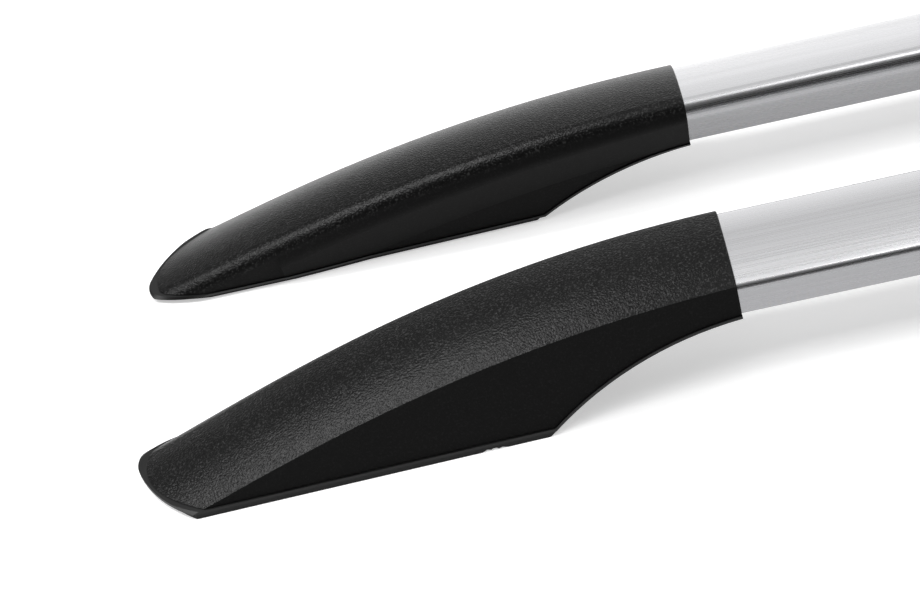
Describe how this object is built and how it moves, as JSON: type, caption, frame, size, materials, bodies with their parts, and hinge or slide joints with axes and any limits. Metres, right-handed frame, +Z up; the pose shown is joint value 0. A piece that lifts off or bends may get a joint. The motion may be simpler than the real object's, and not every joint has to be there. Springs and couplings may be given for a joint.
{
  "type": "roof side rail pair",
  "caption": "Left and right roof side rails: hollow satin aluminium rails with a domed top, each standing on swept black plastic feet with rubber gaskets and threaded inserts.",
  "frame": {"origin": "midway between the rails and between their ends, on the plane the gaskets rest on", "axes": "+X along the rails towards the rear feet, +Y from the left rail to the right rail, +Z up"},
  "size_m": [1.5968, 0.219, 0.0568],
  "materials": {
    "satin_aluminium": "satin, drawn lengthwise",
    "grained_black_plastic": "fine moulded grain",
    "black_base_plastic": "smooth moulded",
    "gasket_rubber": "matt",
    "insert_brass": "turned",
    "screw_steel": "zinc plated"
  },
  "bodies": {
    "root": {"left_rail": "satin_aluminium", "right_rail": "satin_aluminium", "left_front_cover": "grained_black_plastic", "left_front_base": "black_base_plastic", "left_front_gasket": "gasket_rubber", "left_front_inserts": "insert_brass", "left_front_cover_screws": "screw_steel", "left_front_rail_screws": "screw_steel", "right_front_cover": "grained_black_plastic", "right_front_base": "black_base_plastic", "right_front_gasket": "gasket_rubber", "right_front_inserts": "insert_brass", "right_front_cover_screws": "screw_steel", "right_front_rail_screws": "screw_steel", "left_rear_cover": "grained_black_plastic", "left_rear_base": "black_base_plastic", "left_rear_gasket": "gasket_rubber", "left_rear_inserts": "insert_brass", "left_rear_cover_screws": "screw_steel", "left_rear_rail_screws": "screw_steel", "right_rear_cover": "grained_black_plastic", "right_rear_base": "black_base_plastic", "right_rear_gasket": "gasket_rubber", "right_rear_inserts": "insert_brass", "right_rear_cover_screws": "screw_steel", "right_rear_rail_screws": "screw_steel"}
  },
  "joints": []
}
